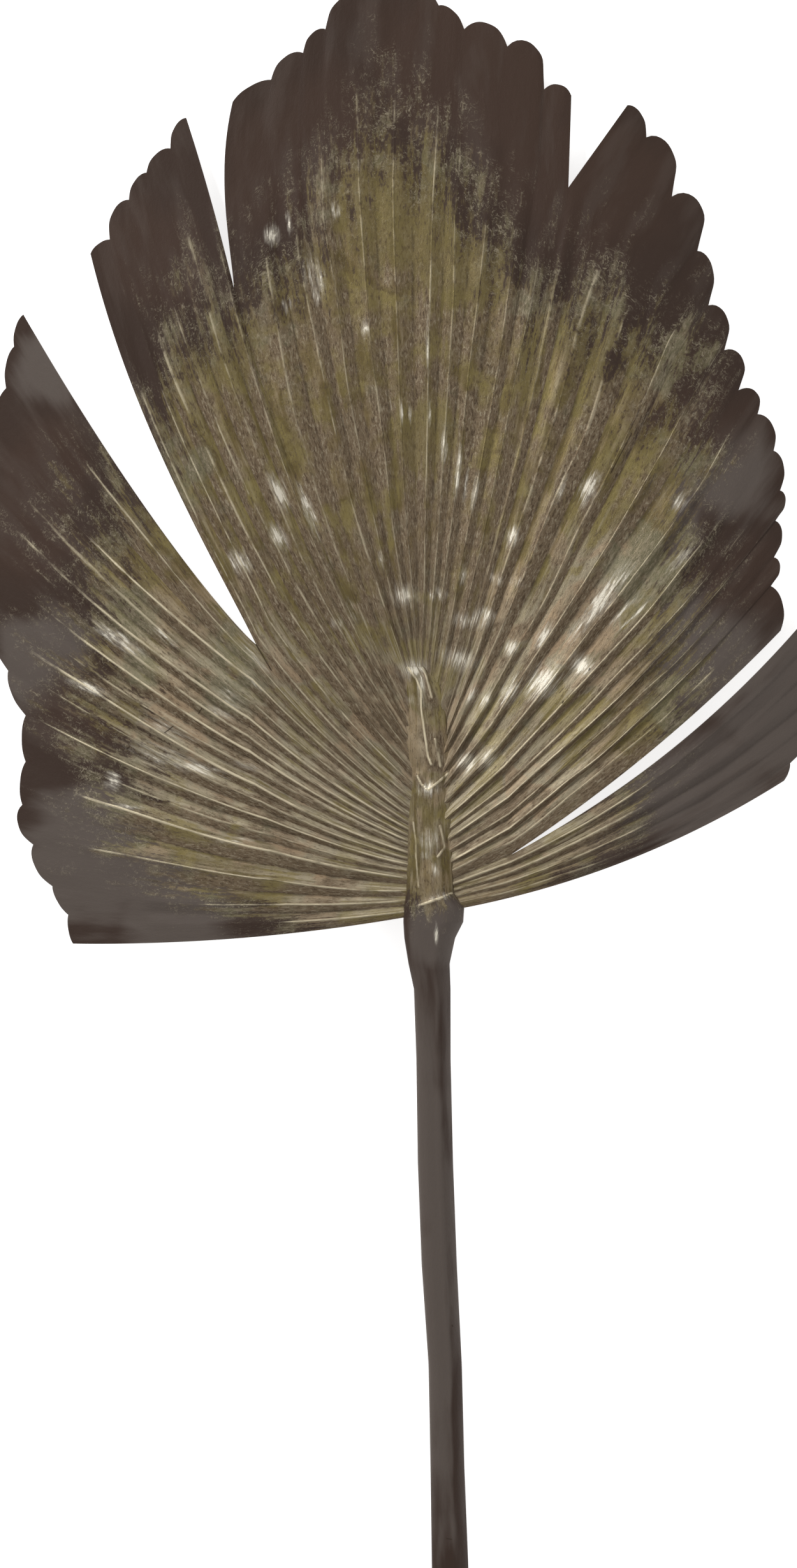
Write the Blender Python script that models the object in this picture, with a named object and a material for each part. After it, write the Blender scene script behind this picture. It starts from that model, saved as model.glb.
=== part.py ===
"""A dried fan palm leaf lying face up: a pleated blade in five lobes, its costa and its stalk, grown as one.

+Y runs from the stalk to the leaf's tip, +X to the right as the upper face is seen. The surface is at z = 0.
The blade's points are given in millimetres from the hub, where the stalk meets the blade's lower edge.
"""
import bpy
import bmesh
import numpy as np

MM = 0.001

# Place of the hub in the part's frame, which has its origin under the middle of the leaf's box.
HUB_X = 6.2 * MM
HUB_Y = -44.0 * MM
HUB_RISE = 30 * MM

# The blade: thickness measured straight up, how it arches down to its margin, and its scallops' shape.
THICKNESS = 1.0 * MM
ARCH_POWER = 1.7
SCALLOP_ROUNDNESS = 2.6
COLUMNS = 5                 # columns of the blade's mesh over one scallop

# Relief. The folds are low ridges that die away toward the margin, where a faint wave follows the scallops.
RIDGE_SLOPE = 0.25
RIDGE_MOST = 2.7 * MM
RIDGES_FADE = (0.66, 0.90)
SCALLOP_WAVE = 0.4 * MM

# Where the rows of the blade's mesh lie, as shares of the way from the costa to the margin.
LOW_SLIT = 0.16
LEFT_SLIT = 0.345
UPPER_LEFT_SLIT = 0.73
UPPER_RIGHT_SLIT = 0.85
ROWS = (0.0, LOW_SLIT, 0.25, LEFT_SLIT, 0.46, 0.60, UPPER_LEFT_SLIT, UPPER_RIGHT_SLIT, 1.0)

# Each fold that bounds a lobe: where it leaves the costa, where its slit starts and at which row, and its bow.
# A bow is how far a line stands to the left of its chord, as seen going outward. Its skew moves the widest
# place toward the margin if over 1, and toward the costa if under 1.
FOLDS = {
    "lower_left_edge": dict(root=(-7, -14), apex=None, row=0.0, bow=0),
    "left_slit": dict(root=(-7, 55), apex=(-106, 155), row=LEFT_SLIT, bow=5),
    "upper_left_slit": dict(root=(-6, 100), apex=(-120, 378), row=UPPER_LEFT_SLIT, bow=10),
    "upper_right_slit": dict(root=(6, 91), apex=(89, 441), row=UPPER_RIGHT_SLIT, bow=-6),
    "low_slit": dict(root=(10, 6), apex=(53, 24), row=LOW_SLIT, bow=0),
    "lower_right_edge": dict(root=(8, -12), apex=None, row=0.0, bow=0),
}

# The lobes clockwise from the lower left. Notches: the corners between the margin's scallops, first to last.
# Scallops: how far each rounded scallop stands out past its two notches.
# Bows: size and skew of the bow of the lobe's two free edges.
# Flares: how fast a free edge's swing past its slit dies away over the scallops beside it, 1 being evenly.
# Lifts: the margin's height over the surface at the lobe's start, at its low share and at its end.
# Root bulge: where the line of roots is drawn to as it rounds the costa's tip.
# Ridges: the folds, as shares across the lobe at the costa and at the margin, and their height.
# Steep: the share of the gap to the next ridge that a ridge's far side takes.
LOBES = [
    dict(
        folds=("lower_left_edge", "left_slit"),
        notches=[(-221, -32), (-224, -14), (-234, 4), (-246, 30), (-253, 55), (-251, 82),
                 (-251, 111), (-262, 139), (-273, 174), (-277, 210), (-276, 246), (-270, 282),
                 (-263, 316), (-258, 342), (-252, 362)],
        scallops=[1.5, 2, 5, 6, 2.5, 2.5, 3.5, 4, 4, 4, 4, 4, 3, 2.5],
        bows=((5, 1.0), (7.2, 0.8)), flares=(1, 1), lifts=(7, 0, 8), low=0.5, root_bulge=None,
        ridges=[(0.055, 0.055, 0.5), (0.135, 0.135, 0.5), (0.222, 0.241, 0.8), (0.337, 0.338, 1),
                (0.390, 0.390, 0.4), (0.450, 0.435, 1), (0.500, 0.512, 0.7), (0.550, 0.562, 1),
                (0.607, 0.600, 0.5), (0.650, 0.642, 1), (0.695, 0.690, 0.6), (0.752, 0.715, 1),
                (0.805, 0.765, 0.4), (0.872, 0.805, 1), (0.935, 0.920, 0.7)],
        steep=0.5,
    ),
    dict(
        folds=("left_slit", "upper_left_slit"),
        notches=[(-210, 400), (-198, 409), (-186, 434), (-175, 451), (-160, 466), (-150, 485)],
        scallops=[2, 6, 3.5, 4, 4],
        bows=((8.7, 1.25), (-1, 1.0)), flares=(1, 1), lifts=(8, 6, 9), low=0.5, root_bulge=None,
        ridges=[(0.055, 0.060, 0.6), (0.245, 0.240, 0.9), (0.435, 0.345, 0.9), (0.625, 0.510, 0.9),
                (0.768, 0.750, 0.8), (0.925, 0.975, 0.8)],
        steep=0.5,
    ),
    dict(
        folds=("upper_left_slit", "upper_right_slit"),
        notches=[(-121, 495), (-97, 509), (-77, 526), (-63, 541), (-43, 562), (-17, 566), (8, 556),
                 (24, 541), (51, 530), (74, 503), (91, 499)],
        scallops=[3, 5.5, 4.5, 7, 8, 7, 4, 9, 14, 5],
        bows=((5.5, 1.3), (0, 1.0)), flares=(2, 2), lifts=(9, 2.5, 8), low=0.5, root_bulge=(-8, 168),
        ridges=[(0.030, 0.096, 0.7), (0.190, 0.192, 0.7), (0.290, 0.300, 0.7), (0.407, 0.408, 0.6),
                (0.495, 0.497, 0.5), (0.620, 0.605, 0.5), (0.715, 0.700, 0.5), (0.775, 0.775, 0.5),
                (0.855, 0.850, 0.6), (0.940, 0.935, 0.6)],
        steep=0.45,
    ),
    dict(
        folds=("upper_right_slit", "low_slit"),
        notches=[(126, 493), (138, 473), (154, 436), (170, 402), (177, 368), (187, 340),
                 (196, 315), (208, 300), (218, 277), (222, 252), (219, 233), (218, 210),
                 (216, 192), (222, 164)],
        scallops=[5, 12.5, 15, 8, 9, 9.5, 8, 6, 5, 5, 5, 5, 5],
        bows=((0, 1.0), (-6, 1.0)), flares=(5, 1), lifts=(8, 0, 7), low=7 / 13, root_bulge=None,
        ridges=[(0.010, 0.010, 0.7), (0.085, 0.092, 1), (0.155, 0.170, 1), (0.253, 0.262, 1.1),
                (0.342, 0.365, 1.2), (0.460, 0.498, 1.3), (0.566, 0.606, 1.2), (0.652, 0.676, 0.6),
                (0.710, 0.766, 1), (0.800, 0.820, 0.5), (0.876, 0.902, 1), (0.945, 0.950, 0.5)],
        steep=0.32,
    ),
    dict(
        folds=("low_slit", "lower_right_edge"),
        notches=[(265, 206), (260, 178), (254, 152), (246, 126), (238, 103), (228, 81), (224, 70)],
        scallops=[5, 5, 5, 4.5, 4, 1],
        bows=((-15.8, 1.0), (-11.5, 1.0)), flares=(1, 1), lifts=(7, 3, 9), low=0.5, root_bulge=None,
        ridges=[(0.155, 0.150, 0.8), (0.350, 0.390, 0.8), (0.560, 0.580, 0.5),
                (0.780, 0.780, 0.4)],
        steep=0.45,
    ),
]

# Sections of the stalk, the neck and the costa: distance along Y from the hub, middle in X, half width, half
# height and the middle's height over the surface, all in millimetres. The last 64 mm of the stalk lie flat.
SECTIONS = [
    (-484, 16.5, 11.5, 6.5, 6.5),
    (-420, 15.0, 11.4, 6.5, 6.5),
    (-360, 13.4, 10.6, 6.5, 7.0),
    (-296, 12.0, 10.4, 6.5, 8.6),
    (-232, 8.2, 11.0, 6.6, 11.6),
    (-168, 5.8, 11.0, 6.6, 15.6),
    (-104, 4.6, 10.7, 6.7, 20.2),
    (-60, 3.8, 11.4, 6.8, 24.0),
    (-44, 1.8, 12.8, 6.9, 25.6),
    (-28, 2.2, 15.8, 7.0, 27.4),
    (-18, 4.4, 19.0, 7.0, 28.8),
    (-12, 4.6, 18.8, 6.6, 29.6),
    (0, 2.4, 14.0, 5.0, 30.4),
    (40, 2.0, 13.6, 4.0, 30.2),
    (84, 1.4, 13.4, 3.8, 30.0),
    (120, -1.0, 12.6, 3.6, 29.8),
    (134, -3.6, 10.8, 3.2, 29.4),
    (141, -6.6, 7.6, 2.2, 29.2),
]

# One section's outline in half widths and half heights, from its left side over the crest and round its back.
PROFILE = [(-1.0, -0.1), (-0.9, 0.42), (-0.5, 0.8), (0.0, 0.95), (0.35, 1.0), (0.72, 0.6), (1.0, -0.1),
           (0.9, -0.6), (0.5, -1.0), (-0.5, -1.0), (-0.9, -0.6)]

COLOUR = (0.105, 0.078, 0.050, 1.0)
ROUGHNESS = 0.45
METALLIC = 0.35


def clear_scene():
    for old in list(bpy.data.objects):
        bpy.data.objects.remove(old, do_unlink=True)


def smooth_step(value, low, high):
    share = np.clip((value - low) / (high - low), 0, 1)
    return share * share * (3 - 2 * share)


def arc(start, end, bow, skew, shares):
    """Points along the chord from start to end, bowed out to its left."""
    start, end = np.array(start, float), np.array(end, float)
    chord = end - start
    left = np.array([-chord[1], chord[0]]) / np.hypot(*chord)
    shares = np.asarray(shares)[:, None]
    bend = shares ** skew
    return start + chord * shares + left * bow * 4 * bend * (1 - bend)


def fold_line(fold, end, free_bow, rows):
    """A lobe's bounding fold, and how far its free edge swings off the line that the fold would keep to."""
    if fold["apex"] is None:
        line = arc(fold["root"], end, *free_bow, rows)
        return line, np.zeros_like(line)
    split = fold["row"]
    kept = arc(fold["root"], fold["apex"], fold["bow"], 1.0, rows / split)
    edge = arc(fold["apex"], end, *free_bow, np.clip((rows - split) / (1 - split), 0, 1))
    return kept, np.where((rows <= split + 1e-9)[:, None], 0.0, edge - kept)


def root_line(lobe, across):
    """Where a lobe's folds leave the costa, for shares across the lobe."""
    start, end = (np.array(FOLDS[name]["root"], float) for name in lobe["folds"])
    across = across[:, None]
    if lobe["root_bulge"] is None:
        return start + (end - start) * across
    pull = np.array(lobe["root_bulge"], float)
    return start * (1 - across) ** 2 + pull * 2 * across * (1 - across) + end * across ** 2


def unit(vectors):
    return vectors / np.linalg.norm(vectors, axis=-1, keepdims=True)


def margin_line(lobe, roots, across):
    """The scalloped margin: straight from notch to notch, then pushed out by each scallop's rounded bulge."""
    notches = np.array(lobe["notches"], float)
    count = len(notches) - 1
    number = np.minimum((across * count + 1e-9).astype(int), count - 1)
    share = (across * count - number)[:, None]
    line = notches[number] * (1 - share) + notches[number + 1] * share
    chord = unit(notches[number + 1] - notches[number])
    square = np.stack([-chord[:, 1], chord[:, 0]], axis=1)
    outward = unit(unit(line - roots) + square)
    bulge = 1 - np.abs(2 * share - 1) ** SCALLOP_ROUNDNESS
    return line + outward * bulge * np.array(lobe["scallops"])[number, None]


def lobe_plan(lobe, rows, across):
    """X and Y of the lobe's grid, rows from costa to margin by columns across, from its four sides."""
    roots = root_line(lobe, across)
    margin = margin_line(lobe, roots, across)
    v, s = rows[:, None, None], across[None, :, None]
    sides = 0.0
    weights = (1 - s, s)
    for name, end, bow, weight, flare in zip(lobe["folds"], (0, -1), lobe["bows"], weights, lobe["flares"]):
        kept, swing = fold_line(FOLDS[name], lobe["notches"][end], bow, rows)
        sides = sides + kept[:, None] * weight + swing[:, None] * weight ** flare
    return (sides + (1 - v) * (roots - sides[:1]) + v * (margin - sides[-1:])) * MM


def lobe_lift(lobe, across):
    """Height of the margin's underside over the surface, lowest at the lobe's low share."""
    start, middle, end = lobe["lifts"]
    low = lobe["low"]
    away = np.where(across < low, (low - across) / low, (across - low) / (1 - low))
    return (middle + (np.where(across < low, start, end) - middle) * away ** 1.1) * MM


def ridge_height(lobe, rows, across, width):
    """Height of the folds over their valleys, for each row and column, from the lobe's width at each row."""
    ridges = np.array(lobe["ridges"], float)
    drift = smooth_step(rows, 0.1, 0.8)[:, None]
    crests = ridges[:, 0] * (1 - drift) + ridges[:, 1] * drift
    valleys = crests[:, :-1] + np.diff(crests, axis=1) * lobe["steep"]
    valleys = np.column_stack([np.zeros(len(rows)), valleys, np.ones(len(rows))])
    gaps = np.diff(valleys, axis=1) * width[:, None]
    tops = np.minimum(gaps * RIDGE_SLOPE, RIDGE_MOST) * ridges[:, 2]
    knots = np.zeros((len(rows), 2 * len(ridges) + 1))
    heights = np.zeros_like(knots)
    knots[:, ::2], knots[:, 1::2] = valleys, crests
    heights[:, 1::2] = tops
    return np.stack([np.interp(across, places, up) for places, up in zip(knots, heights)])


def lobe_surface(lobe, rows):
    """The middle of the blade's thickness over one lobe, as a grid of points."""
    scallops = len(lobe["notches"]) - 1
    across = np.linspace(0, 1, scallops * COLUMNS + 1)
    plan = lobe_plan(lobe, rows, across)
    width = np.linalg.norm(np.diff(plan, axis=1), axis=2).sum(axis=1)
    v = rows[:, None]
    arch = v ** ARCH_POWER
    z = HUB_RISE * (1 - arch) + (lobe_lift(lobe, across) + THICKNESS / 2 + SCALLOP_WAVE / 2) * arch
    inner = smooth_step(v, 0.0, 0.05) * (1 - smooth_step(v, *RIDGES_FADE))
    z = z + (ridge_height(lobe, rows, across, width) - 0.4 * RIDGE_MOST) * inner
    wave = 0.5 - np.abs(2 * ((across * scallops) % 1) - 1)
    z = z + SCALLOP_WAVE * wave * smooth_step(v, 0.6, 0.95)
    return np.dstack([plan[..., 0] + HUB_X, plan[..., 1] + HUB_Y, z])


def blade_mesh():
    """The blade's middle sheet in triangles. Neighbouring lobes share a fold as far as its slit."""
    rows = np.array(ROWS)
    points, cells = [], []
    shared = {}
    for lobe in LOBES:
        grid = lobe_surface(lobe, rows)
        ids = np.arange(grid.shape[0] * grid.shape[1]).reshape(grid.shape[:2]) + len(points)
        points.extend(grid.reshape(-1, 3))
        for row, twin in shared.items():
            ids[row, 0] = twin
        split = FOLDS[lobe["folds"][1]]["row"]
        shared = {row: ids[row, -1] for row in range(len(rows)) if 0 < split and rows[row] <= split}
        a, b, c, d = ids[:-1, :-1], ids[1:, :-1], ids[1:, 1:], ids[:-1, 1:]
        for corners in ((a, b, c), (a, c, d)):
            cells.extend(np.stack(corners, axis=-1).reshape(-1, 3))
    return np.array(points), np.array(cells)


def rim_edges(cells):
    """Edges that only one triangle uses, in that triangle's direction."""
    edges = np.concatenate([cells[:, [0, 1]], cells[:, [1, 2]], cells[:, [2, 0]]])
    _, index, count = np.unique(np.sort(edges, axis=1), axis=0, return_index=True, return_counts=True)
    return edges[index[count == 1]]


def add_object(name, points, faces):
    mesh = bpy.data.meshes.new(name)
    mesh.from_pydata([tuple(p) for p in points], [], [tuple(int(i) for i in f) for f in faces])
    shape = bmesh.new()
    shape.from_mesh(mesh)
    loose = [v for v in shape.verts if not v.link_faces]
    bmesh.ops.delete(shape, geom=loose, context="VERTS")
    bmesh.ops.recalc_face_normals(shape, faces=shape.faces[:])
    shape.to_mesh(mesh)
    shape.free()
    made = bpy.data.objects.new(name, mesh)
    bpy.context.scene.collection.objects.link(made)
    return made


def make_blade():
    points, cells = blade_mesh()
    half = np.array([0, 0, THICKNESS / 2])
    count = len(points)
    faces = [tuple(c) for c in cells]
    faces += [tuple(c[::-1] + count) for c in cells]
    for start, end in rim_edges(cells):
        faces += [(start, start + count, end), (end, start + count, end + count)]
    return add_object("palm_leaf", np.vstack([points + half, points - half]), faces)


def make_rachis():
    """The stalk, the neck and the costa as one tapering solid through the sections."""
    points, faces = [], []
    sides = len(PROFILE)
    for along, middle, half_width, half_height, rise in SECTIONS:
        for across, up in PROFILE:
            x = HUB_X + (middle + across * half_width) * MM
            points.append((x, HUB_Y + along * MM, (rise + up * half_height) * MM))
    for ring in range(len(SECTIONS) - 1):
        for side in range(sides):
            here, there = ring * sides + side, ring * sides + (side + 1) % sides
            faces.append((here, there, there + sides, here + sides))
    faces.append(tuple(range(sides)))
    faces.append(tuple(range((len(SECTIONS) - 1) * sides, len(SECTIONS) * sides)))
    return add_object("rachis", points, faces)


def join(leaf, rachis):
    union = leaf.modifiers.new("grown_together", "BOOLEAN")
    union.operation = "UNION"
    union.solver = "EXACT"
    union.object = rachis
    bpy.context.view_layer.objects.active = leaf
    bpy.ops.object.modifier_apply(modifier=union.name)
    bpy.data.objects.remove(rachis, do_unlink=True)


def leaf_material():
    material = bpy.data.materials.new("bronzed_leaf")
    material.use_nodes = True
    shader = material.node_tree.nodes["Principled BSDF"]
    shader.inputs["Base Color"].default_value = COLOUR
    shader.inputs["Roughness"].default_value = ROUGHNESS
    shader.inputs["Metallic"].default_value = METALLIC
    return material


def main():
    clear_scene()
    leaf = make_blade()
    join(leaf, make_rachis())
    leaf.data.materials.clear()
    leaf.data.materials.append(leaf_material())


main()
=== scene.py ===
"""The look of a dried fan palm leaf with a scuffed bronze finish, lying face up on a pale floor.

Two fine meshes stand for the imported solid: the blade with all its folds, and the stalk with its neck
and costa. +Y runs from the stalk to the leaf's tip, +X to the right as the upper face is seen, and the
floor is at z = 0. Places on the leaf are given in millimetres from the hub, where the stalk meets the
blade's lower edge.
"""
import math
from functools import reduce
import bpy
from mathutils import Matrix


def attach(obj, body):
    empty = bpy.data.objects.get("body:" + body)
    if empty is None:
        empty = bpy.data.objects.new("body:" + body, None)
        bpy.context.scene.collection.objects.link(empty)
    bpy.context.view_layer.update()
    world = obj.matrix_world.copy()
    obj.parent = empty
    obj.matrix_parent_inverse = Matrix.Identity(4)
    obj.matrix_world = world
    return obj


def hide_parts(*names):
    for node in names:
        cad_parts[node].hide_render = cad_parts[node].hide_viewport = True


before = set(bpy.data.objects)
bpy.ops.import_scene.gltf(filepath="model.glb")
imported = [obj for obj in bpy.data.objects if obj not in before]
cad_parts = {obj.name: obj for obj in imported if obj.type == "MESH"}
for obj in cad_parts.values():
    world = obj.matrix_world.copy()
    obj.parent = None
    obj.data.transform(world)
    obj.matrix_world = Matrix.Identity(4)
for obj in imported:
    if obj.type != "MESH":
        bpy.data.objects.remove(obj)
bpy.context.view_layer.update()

from types import SimpleNamespace
import bmesh
import bpy
import numpy as np

MM = 0.001

# Place of the hub, as in the solid.
HUB = np.array([6.2, -44.0])
HUB_RISE = 30 * MM

# The blade: thickness measured straight up, how it arches down to its margin, how the margin rises from
# its lowest place to a lobe's corners, and the scallops' shape. Close to a notch a scallop's side runs
# more along the folds.
THICKNESS = 1.0 * MM
ARCH_POWER = 1.7
LIFT_POWER = 1.1
SCALLOP_ROUNDNESS = 2.6
NOTCH_PULL = 6
NOTCH_POWER = 4

# Rows of the blade's mesh between the starts of the slits: share of the way to the margin, rows up to it.
ROW_STEPS = ((0.16, 14), (0.345, 15), (0.73, 32), (0.85, 10), (1.0, 13))
# Columns over one scallop. The underside has every second one.
COLUMNS = 14
SLACK = 1e-9                # allowed when two shares are compared

# Each fold that bounds a lobe: where it leaves the costa, where its slit starts, at which share of the
# way to the margin, and its bow.
FOLDS = {
    "lower_left_edge": dict(root=(-7, -14), apex=None, row=0.0, bow=0),
    "left_slit": dict(root=(-7, 55), apex=(-106, 155), row=0.345, bow=5),
    "upper_left_slit": dict(root=(-6, 100), apex=(-120, 378), row=0.73, bow=10),
    "upper_right_slit": dict(root=(6, 91), apex=(89, 441), row=0.85, bow=-6),
    "low_slit": dict(root=(10, 6), apex=(53, 24), row=0.16, bow=0),
    "lower_right_edge": dict(root=(8, -12), apex=None, row=0.0, bow=0),
}

# The lobes clockwise from the lower left. Notches, scallops, bows, flares, lifts, low and root bulge shape
# them as in the solid.
# Ridges: the embossed folds, as share across the lobe at the costa, the same at the margin, height, and
# brightness of the scuffed line.
# Roundness: 0 for sharp ridges, 1 for softly rounded ones.
# Steep: the share of the gap to the next ridge that a ridge's far side takes.
# Painted shade side: painted shade on a ridge's far side, or if negative on its near side, with a painted
# highlight on the other side.
# Start: the shares of the way to the margin between which the ridges rise.
# Patina: how far out the bronze reaches, as shares of the way to the margin, evenly across the lobe.
LOBES = [
    dict(
        folds=("lower_left_edge", "left_slit"),
        notches=[(-221, -32), (-224, -14), (-234, 4), (-246, 30), (-253, 55), (-251, 82), (-251, 111),
                 (-262, 139), (-273, 174), (-277, 210), (-276, 246), (-270, 282), (-263, 316),
                 (-258, 342), (-252, 362)],
        scallops=[1.5, 2, 5, 6, 2.5, 2.5, 3.5, 4, 4, 4, 4, 4, 3, 2.5],
        bows=((5, 1.0), (7.2, 0.8)), flares=(1, 1), lifts=(7, 0, 8), low=0.5, root_bulge=None,
        ridges=[(0.055, 0.055, 0.5, 0.7), (0.135, 0.135, 0.5, 0.7), (0.222, 0.241, 0.8, 0.6),
                (0.337, 0.338, 1, 1), (0.390, 0.390, 0.4, 0.35), (0.450, 0.435, 1, 1),
                (0.500, 0.512, 0.7, 0.5), (0.550, 0.562, 1, 1), (0.607, 0.600, 0.5, 0.45),
                (0.650, 0.642, 1, 1), (0.695, 0.690, 0.6, 0.6), (0.752, 0.715, 1, 0.9),
                (0.805, 0.765, 0.4, 0.4), (0.872, 0.805, 1, 0.9), (0.935, 0.920, 0.7, 0.6)],
        roundness=0.1, steep=0.5, painted_shade_side=-1.0, start=(0, 0.05),
        patina=[0.42, 0.56, 0.76, 0.83, 0.86, 0.86, 0.82, 0.79, 0.78, 0.76, 0.70],
    ),
    dict(
        folds=("left_slit", "upper_left_slit"),
        notches=[(-210, 400), (-198, 409), (-186, 434), (-175, 451), (-160, 466), (-150, 485)],
        scallops=[2, 6, 3.5, 4, 4],
        bows=((8.7, 1.25), (-1, 1.0)), flares=(1, 1), lifts=(8, 6, 9), low=0.5, root_bulge=None,
        ridges=[(0.055, 0.060, 0.6, 0.5), (0.245, 0.240, 0.9, 0.6), (0.435, 0.345, 0.9, 0.4),
                (0.625, 0.510, 0.9, 0.4), (0.768, 0.750, 0.8, 0.25), (0.925, 0.975, 0.8, 0.25)],
        roundness=0.3, steep=0.5, painted_shade_side=-0.8, start=(0, 0.05),
        patina=[0.74, 0.80, 0.82, 0.80, 0.76],
    ),
    dict(
        folds=("upper_left_slit", "upper_right_slit"),
        notches=[(-121, 495), (-97, 509), (-77, 526), (-63, 541), (-43, 562), (-17, 566), (8, 556),
                 (24, 541), (51, 530), (74, 503), (91, 499)],
        scallops=[3, 5.5, 4.5, 7, 8, 7, 4, 9, 14, 5],
        bows=((5.5, 1.3), (0, 1.0)), flares=(2, 2), lifts=(9, 2.5, 8), low=0.5, root_bulge=(-8, 168),
        ridges=[(0.030, 0.096, 0.7, 0.2), (0.190, 0.192, 0.7, 0.25), (0.290, 0.300, 0.7, 0.2),
                (0.407, 0.408, 0.6, 0.15), (0.495, 0.497, 0.5, 0.15), (0.620, 0.605, 0.5, 0.3),
                (0.715, 0.700, 0.5, 0.12), (0.775, 0.775, 0.5, 0.1), (0.855, 0.850, 0.6, 0.1),
                (0.940, 0.935, 0.6, 0.1)],
        roundness=0.6, steep=0.45, painted_shade_side=0.2, start=(0.01, 0.12),
        patina=[0.74, 0.76, 0.77, 0.82, 0.85, 0.84, 0.83, 0.76, 0.73, 0.72],
    ),
    dict(
        folds=("upper_right_slit", "low_slit"),
        notches=[(126, 493), (138, 473), (154, 436), (170, 402), (177, 368), (187, 340), (196, 315),
                 (208, 300), (218, 277), (222, 252), (219, 233), (218, 210), (216, 192), (222, 164)],
        scallops=[5, 12.5, 15, 8, 9, 9.5, 8, 6, 5, 5, 5, 5, 5],
        bows=((0, 1.0), (-6, 1.0)), flares=(5, 1), lifts=(8, 0, 7), low=7 / 13, root_bulge=None,
        ridges=[(0.010, 0.010, 0.7, 0.1), (0.085, 0.092, 1.0, 0.2), (0.155, 0.170, 1.0, 0.2),
                (0.253, 0.262, 1.1, 0.2), (0.342, 0.365, 1.2, 0.25), (0.460, 0.498, 1.3, 0.3),
                (0.566, 0.606, 1.2, 0.6), (0.652, 0.676, 0.6, 0.45), (0.710, 0.766, 1.0, 0.9),
                (0.800, 0.820, 0.5, 0.3), (0.876, 0.902, 1.0, 0.8), (0.945, 0.950, 0.5, 0.3)],
        roundness=0.55, steep=0.32, painted_shade_side=1.0, start=(0, 0.05),
        patina=[0.74, 0.79, 0.84, 0.90, 0.92, 0.84, 0.78, 0.76, 0.77, 0.80, 0.80],
    ),
    dict(
        folds=("low_slit", "lower_right_edge"),
        notches=[(265, 206), (260, 178), (254, 152), (246, 126), (238, 103), (228, 81), (224, 70)],
        scallops=[5, 5, 5, 4.5, 4, 1],
        bows=((-15.8, 1.0), (-11.5, 1.0)), flares=(1, 1), lifts=(7, 3, 9), low=0.5, root_bulge=None,
        ridges=[(0.155, 0.150, 0.8, 0.7), (0.350, 0.390, 0.8, 0.6), (0.560, 0.580, 0.5, 0.5),
                (0.780, 0.780, 0.4, 0.4)],
        roundness=0.3, steep=0.45, painted_shade_side=0.8, start=(0, 0.05),
        patina=[0.50, 0.52, 0.50, 0.46],
    ),
]

# Relief of the blade. The embossed ridges die away toward the margin, where a faint wave follows the
# scallops. Pairs are shares of the way to the margin between which something comes or goes.
RIDGE_SLOPE = 0.25
RIDGE_MOST = 2.7 * MM
RIDGE_SINK = 0.4            # share of the highest ridge by which the ridged part lies lower
RIDGES_TURN = (0.1, 0.8)    # from a ridge's share across at the costa to that at the margin
RIDGES_FADE = (0.66, 0.90)
SCALLOP_WAVE = 0.4 * MM
WAVE_RISES = (0.75, 1.0)
END_SCALLOP = 5 * MM        # how far the smooth line along the scallops' tips passes a lobe's corners
END_BLEND = 0.7             # scallops over which that line turns to its end
SWELL = 0.9 * MM            # broad unevenness of the sheet
SWELL_LENGTH = 60 * MM
HEIGHT_CHANGE = 0.40        # share by which a ridge's height comes and goes along it
HEIGHT_LENGTH = 42 * MM
HEIGHT_SHIFT = 3.7          # keeps one ridge's changes unlike its neighbour's
WANDER = 0.08               # share of the gap between ridges by which a crest strays to either side
WANDER_LENGTH = 55 * MM
WANDER_SHIFT = 97           # millimetres that keep one crest's straying unlike its neighbour's
DENTS = 0.35 * MM           # short facets in the bronzed part
DENT_LENGTH = 16 * MM
DENT_WIDTH = 6 * MM
RELIEF_RISES = (0.0, 0.08)  # of the swells and dents
RELIEF_FADES = (0.72, 0.96)
FOLD_PITCH = 13 * MM        # width that one scallop takes in the coordinate that runs across the folds
NOISE_CELLS = 64            # cells after which smooth noise repeats itself

# An edge is sharp where a face this upright meets one this level, both as the upward part of a normal.
UPRIGHT = 0.1
LEVEL = 0.3
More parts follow.
